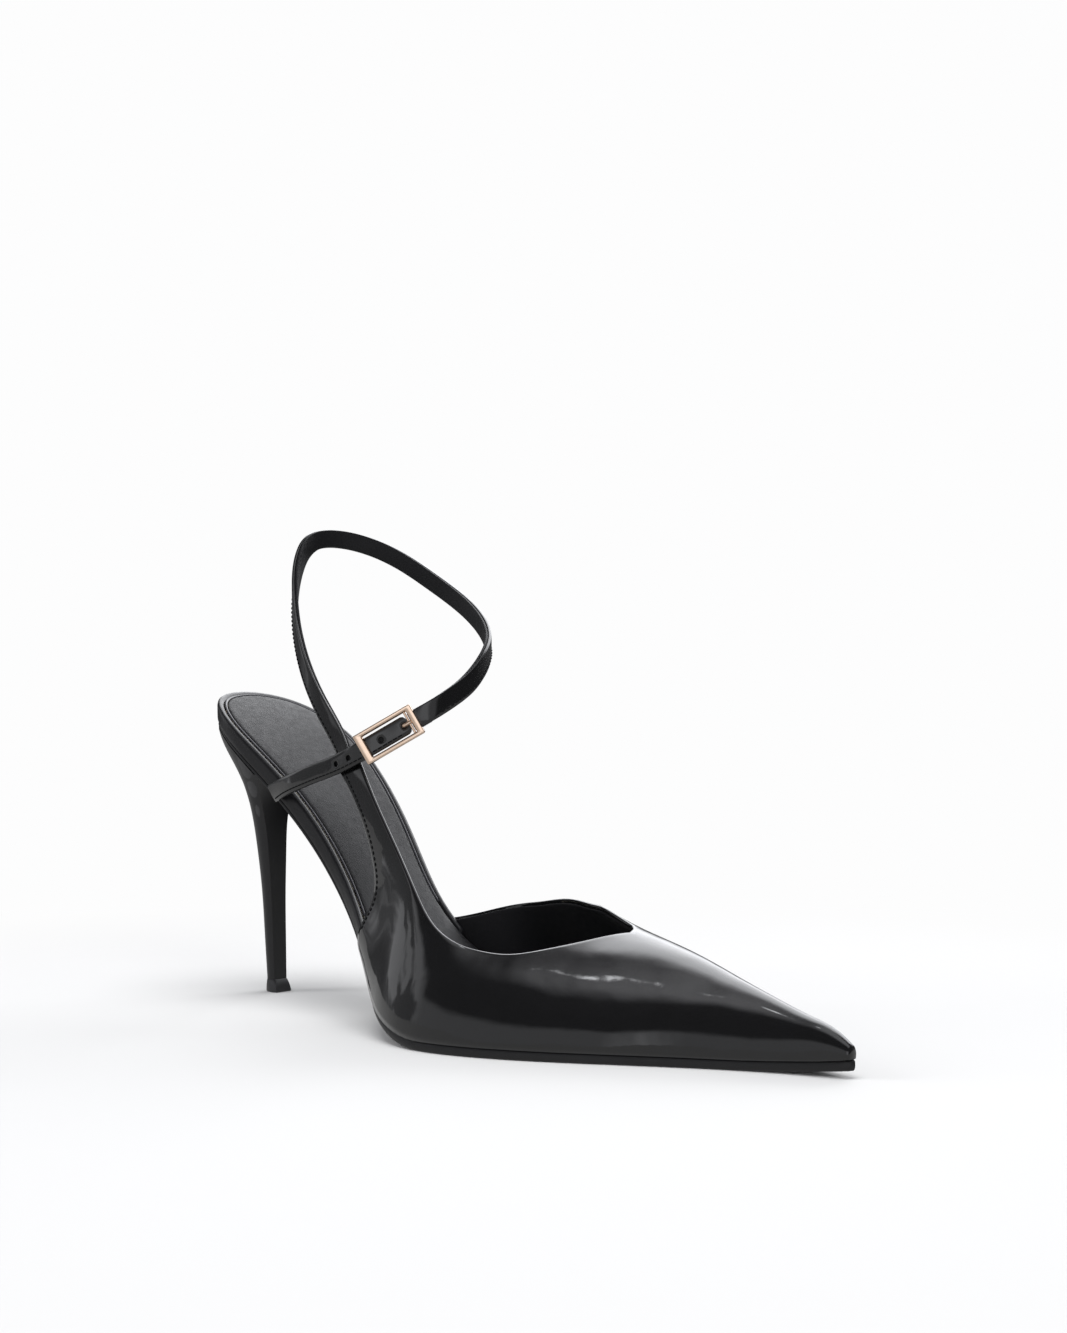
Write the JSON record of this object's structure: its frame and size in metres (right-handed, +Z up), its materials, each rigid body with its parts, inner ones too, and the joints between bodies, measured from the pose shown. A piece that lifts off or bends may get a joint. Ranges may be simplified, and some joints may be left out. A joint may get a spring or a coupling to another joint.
{
  "type": "high heel pump",
  "caption": "Open-sided pointed stiletto for the right foot, with a side panel that turns into a buckled ankle strap and a punched anchor strap.",
  "frame": {"origin": "centre of the heel tip's ground face", "axes": "+X towards the toe, +Y towards the inner side of the foot, +Z up from the ground"},
  "size_m": [0.2386, 0.0771, 0.1558],
  "materials": {
    "patent_leather": "black patent, high gloss",
    "satin_leather": "black, satin",
    "lining_leather": "black, matte",
    "sock_leather": "black, soft grain, padded",
    "sole_leather": "black, satin edge",
    "edge_cord": "black, glossy cord",
    "foam": "open-cell foam",
    "fibreboard": "pressed fibreboard",
    "filler": "cork compound",
    "spring_steel": "blued spring steel",
    "steel": "bright steel",
    "brass": "plain brass",
    "heel_plastic": "moulded plastic",
    "tip_plastic": "black hard-wearing plastic",
    "stiffener": "thermoplastic sheet",
    "rose_gold": "polished rose gold plating"
  },
  "bodies": {
    "root": {"outsole": "sole_leather", "insole_rim_wrap": "satin_leather", "insole_board": "fibreboard", "steel_shank": "spring_steel", "shank_rivets": "brass", "bottom_filler": "filler", "sock_foam": "foam", "sock_lining": "sock_leather", "sock_piping": "edge_cord", "heel_core": "heel_plastic", "heel_cover": "satin_leather", "heel_tube": "steel", "top_piece": "tip_plastic", "top_piece_dowel": "steel", "heel_screw": "steel", "heel_nails": "steel", "vamp": "patent_leather", "vamp_lining": "lining_leather", "toe_puff": "stiffener", "ankle_strap": "patent_leather", "ankle_strap_lining": "lining_leather", "anchor_strap": "patent_leather", "anchor_strap_lining": "lining_leather"},
    "strap_end": {"strap_end": "patent_leather", "strap_end_lining": "lining_leather"},
    "buckle": {"buckle_frame": "rose_gold", "buckle_pin": "steel", "prong_pin": "steel"},
    "prong": {"buckle_prong": "rose_gold"}
  },
  "joints": [
    {"name": "strap_end_flex", "type": "hinge", "parent": "root", "child": "strap_end", "pos_m": [0.09529, -0.00371, 0.102], "axis": [-0.4245, -0.3352, 0.8411], "range_deg": [0, 25]},
    {"name": "buckle_pivot", "type": "hinge", "parent": "strap_end", "child": "buckle", "pos_m": [0.08629, -0.01663, 0.09179], "axis": [-0.3912, -0.309, 0.8669], "range_deg": [0, 25]},
    {"name": "prong_pivot", "type": "hinge", "parent": "buckle", "child": "prong", "pos_m": [0.08671, -0.01955, 0.09094], "axis": [-0.3912, -0.309, 0.8669], "range_deg": [0, 85]}
  ]
}
